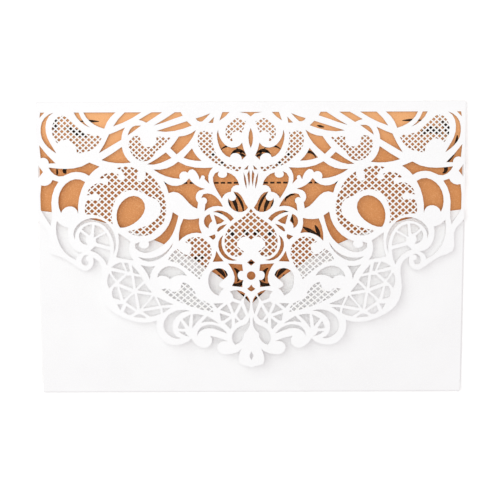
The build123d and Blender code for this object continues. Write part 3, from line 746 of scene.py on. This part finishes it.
class INVITATION_OT_gold_insert(bpy.types.Operator):
    """Give the insert its gold shimmer finish."""

    bl_idname = "invitation.gold_insert"
    bl_label = "Finish the gold insert"

    def execute(self, context):
        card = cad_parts["insert_card"]
        card.data.materials.clear()
        card.data.materials.append(gold_finish(context.scene.invitation_colours))
        return {"FINISHED"}


class INVITATION_OT_lace_lattice(bpy.types.Operator):
    """Fill the lace's fields with their fine crossed bars."""

    bl_idname = "invitation.lace_lattice"
    bl_label = "Fill the lattice fields"

    def execute(self, context):
        sizes = context.scene.invitation_lace
        bm = bmesh.new()
        for field in lattice_fields():
            flat, gaps = cut_field(field, sizes.bar_lap, sizes)
            bars = set(flat.faces) - gaps
            add_plate(bm, flat, bars, -sizes.bar_inset / MM, sizes.bar_depth / MM)
        bmesh.ops.transform(bm, matrix=flap_placement(sizes), verts=bm.verts)
        piece = finished_piece(bm, "lace_lattice", bpy.data.materials["pearl_card"])
        return {"FINISHED"}


class INVITATION_OT_insert_print(bpy.types.Operator):
    """Print the insert's flourishes, dashes and dots."""

    bl_idname = "invitation.insert_print"
    bl_label = "Print the insert"

    def execute(self, context):
        scene = context.scene
        sizes = scene.invitation_ink
        bm = bmesh.new()
        for *points, width, halves in INK_STROKES:
            for side in halves:
                ends = [on_insert(point, side, scene)[:2] for point in points]
                ink_ribbon(bm, ends, width * MM)
        for side in BOTH:
            for point in INK_DASHES:
                made = bmesh.ops.create_grid(bm, x_segments=1, y_segments=1, size=HALF_SIDE)
                bmesh.ops.scale(bm, vec=(sizes.dash_length, sizes.dash_width, 1),
                                verts=made["verts"])
                bmesh.ops.translate(bm, vec=on_insert(point, side, scene), verts=made["verts"])
            for point in INK_DOTS:
                place = Matrix.Translation(on_insert(point, side, scene))
                bmesh.ops.create_circle(bm, cap_ends=True, segments=DOT_SEGMENTS,
                                        radius=sizes.dot_radius, matrix=place)
        thickened(bm, sizes.ink_depth)
        ink_top = insert_high.z + sizes.ink_depth * INK_PROUD
        bmesh.ops.translate(bm, vec=(0, 0, ink_top), verts=bm.verts)
        finished_piece(bm, "insert_print", ink_finish(scene.invitation_colours))
        return {"FINISHED"}


class INVITATION_OT_stage(bpy.types.Operator):
    """Set the table, the lights and the camera."""

    bl_idname = "invitation.stage"
    bl_label = "Set the stage"

    def execute(self, context):
        scene = context.scene
        studio = scene.invitation_studio
        bm = bmesh.new()
        bmesh.ops.create_grid(bm, x_segments=1, y_segments=1, size=TABLE_REACH,
                              matrix=Matrix.Translation((0, 0, cad_low.z - TABLE_DROP)))
        table = object_from(bm, "table")
        table.data.materials.append(floor_finish(scene.invitation_colours, studio))
        white_surroundings(studio)
        tilt = studio.camera_tilt
        to_key = Vector(studio.key_direction).normalized()
        to_camera = Vector((0, sin(tilt), cos(tilt)))
        soft_lamp("key_lamp", to_key * studio.lamp_distance,
                  studio.key_size, studio.key_power, studio.key_colour)
        soft_lamp("front_lamp", to_camera * studio.lamp_distance,
                  studio.front_size, studio.front_power, WHITE)
        camera = bpy.data.objects.new("camera", bpy.data.cameras.new("camera"))
        camera.data.lens = studio.camera_lens
        camera.data.clip_start = CLIP_START
        camera.rotation_mode = "QUATERNION"
        camera.rotation_quaternion = (Quaternion((1, 0, 0), -tilt)
                                      @ Quaternion((0, 0, 1), studio.camera_roll))
        aim = Vector((studio.aim_across, studio.aim_up, 0))
        camera.location = aim + to_camera * studio.camera_distance
        scene.collection.objects.link(camera)
        scene.camera = camera
        scene.view_settings.view_transform = "Standard"
        return {"FINISHED"}


GROUPS = {
    "invitation_lace": InvitationLaceSizes,
    "invitation_ink": InvitationInkSizes,
    "invitation_colours": InvitationColours,
    "invitation_studio": InvitationStudio,
}
OPERATORS = (
    INVITATION_OT_pearl_card,
    INVITATION_OT_gold_insert,
    INVITATION_OT_lace_lattice,
    INVITATION_OT_insert_print,
    INVITATION_OT_stage,
)


class INVITATION_PT_panel(bpy.types.Panel):
    """The invitation's pieces, sizes and colours."""

    bl_label = "Pocket invitation"
    bl_idname = "INVITATION_PT_panel"
    bl_space_type = "VIEW_3D"
    bl_region_type = "UI"
    bl_category = "Invitation"

    def draw(self, context):
        for operator in OPERATORS:
            self.layout.operator(operator.bl_idname)
        for group_name, group in GROUPS.items():
            box = self.layout.box()
            box.label(text=group.__doc__)
            for property_name in group.__annotations__:
                box.prop(getattr(context.scene, group_name), property_name)


def register():
    """Registers the classes and hangs the property groups on the scene."""
    for group_name, group in GROUPS.items():
        bpy.utils.register_class(group)
        setattr(bpy.types.Scene, group_name, PointerProperty(type=group))
    for made in (*OPERATORS, INVITATION_PT_panel):
        bpy.utils.register_class(made)


def unregister():
    """Takes the classes and the property groups away again."""
    for made in (INVITATION_PT_panel, *reversed(OPERATORS)):
        bpy.utils.unregister_class(made)
    for group_name, group in reversed(GROUPS.items()):
        delattr(bpy.types.Scene, group_name)
        bpy.utils.unregister_class(group)


def main():
    """Dresses the invitation."""
    register()
    bpy.ops.invitation.pearl_card()
    bpy.ops.invitation.gold_insert()
    bpy.ops.invitation.lace_lattice()
    bpy.ops.invitation.insert_print()
    bpy.ops.invitation.stage()


if __name__ == "__main__":
    main()
